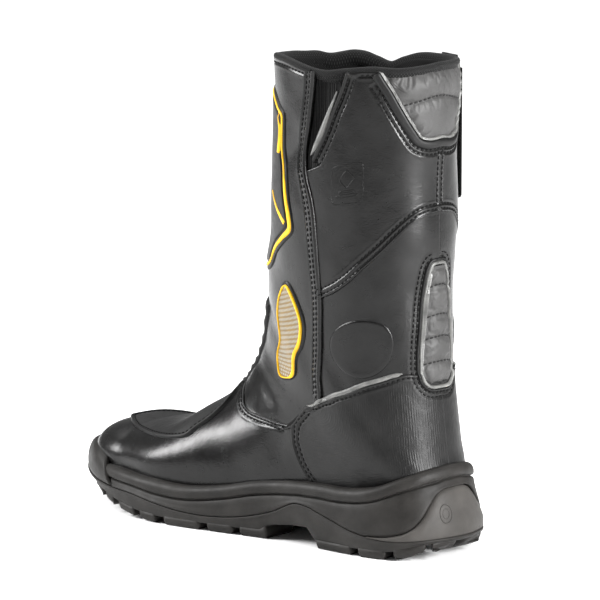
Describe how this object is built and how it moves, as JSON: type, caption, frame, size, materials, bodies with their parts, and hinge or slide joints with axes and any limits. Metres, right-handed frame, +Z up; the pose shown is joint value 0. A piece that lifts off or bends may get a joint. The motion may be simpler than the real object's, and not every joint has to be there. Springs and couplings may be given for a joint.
{
  "type": "firefighter boot",
  "caption": "Tall pull-on safety boot with leather panels, lugged rubber cup sole, padded calf and Achilles, stretch side gussets and a webbing pull strap.",
  "frame": {"origin": "on the flat of the tread, under the middle of the foot, where the boot stands", "axes": "+Z up out of the shaft, -Y towards the toe, +X towards the outer side of a left foot"},
  "size_m": [0.1095, 0.3128, 0.3059],
  "materials": {
    "black_leather": "satin full-grain leather with soft creases",
    "embossed_leather": "leather embossed with a fine mesh",
    "guard_leather": "smooth abrasion-resistant coated leather",
    "elastic": "ribbed stretch webbing",
    "grey_pad": "soft padded leather, quilted",
    "lining": "knitted lining over a membrane",
    "binding": "soft textile binding",
    "reflective_piping": "silver retro-reflective piping",
    "reflex_mesh": "coarse reflective mesh",
    "yellow_trim": "yellow coated trim",
    "webbing": "woven webbing",
    "tread_rubber": "matt nitrile rubber",
    "midsole_rubber": "matt moulded rubber",
    "bumper_rubber": "smooth matt rubber",
    "heel_rubber": "smooth matt rubber",
    "cap_steel": "pressed steel cap",
    "stiffener_board": "thermoplastic stiffener",
    "lasting_board": "fibre board",
    "shank_steel": "steel shank",
    "plate_textile": "dense puncture-resistant textile",
    "footbed_foam": "felt-covered foam"
  },
  "bodies": {
    "foot": {"outsole": "tread_rubber", "toe_bumper": "bumper_rubber", "midsole": "midsole_rubber", "heel_clip": "heel_rubber", "insole_board": "lasting_board", "shank_plate": "shank_steel", "puncture_plate": "plate_textile", "footbed": "footbed_foam", "vamp": "black_leather", "heel_counter_outer": "embossed_leather", "heel_counter_inner": "embossed_leather", "ankle_quarter_outer": "black_leather", "ankle_quarter_inner": "black_leather", "achilles_pad": "grey_pad", "membrane_lining": "lining", "toe_cap": "cap_steel", "heel_stiffener": "stiffener_board", "instep_guard": "guard_leather", "ankle_disc_outer": "black_leather", "ankle_disc_inner": "black_leather", "counter_piping_outer": "reflective_piping", "counter_piping_inner": "reflective_piping", "achilles_piping": "reflective_piping"},
    "shaft": {"calf_pad": "grey_pad", "calf_pad_piping": "reflective_piping", "calf_pad_surround": "black_leather", "collar_binding": "binding", "front_shaft_panel": "black_leather", "gusset_piping_inner": "reflective_piping", "gusset_piping_outer": "reflective_piping", "rear_shaft_panel_inner": "black_leather", "rear_shaft_panel_outer": "black_leather", "reflex_border_inner": "yellow_trim", "reflex_border_outer": "yellow_trim", "reflex_insert_inner": "reflex_mesh", "reflex_insert_outer": "reflex_mesh", "shin_shield_edge": "yellow_trim", "side_seam_strip_inner": "black_leather", "side_seam_strip_outer": "black_leather", "strap_tab": "black_leather", "stretch_gusset_inner": "elastic", "stretch_gusset_outer": "elastic"},
    "pull_strap": {"pull_strap": "webbing"}
  },
  "joints": [
    {"name": "ankle_flex", "type": "hinge", "parent": "foot", "child": "shaft", "pos_m": [0, 0.07, 0.115], "axis": [1, 0, 0], "range_deg": [-6, 14], "stiffness_Nm_per_rad": 15, "deforming": ["front_shaft_panel", "ankle_quarter_outer", "ankle_quarter_inner", "achilles_pad", "achilles_piping", "membrane_lining", "reflex_insert_outer", "reflex_insert_inner", "reflex_border_outer", "reflex_border_inner", "ankle_disc_outer", "ankle_disc_inner", "side_seam_strip_outer", "side_seam_strip_inner"]},
    {"name": "strap_swing", "type": "hinge", "parent": "shaft", "child": "pull_strap", "pos_m": [-0.04759, 0.10442, 0.2957], "axis": [0.3481, 0.9375, 0], "range_deg": [0, 130]}
  ]
}
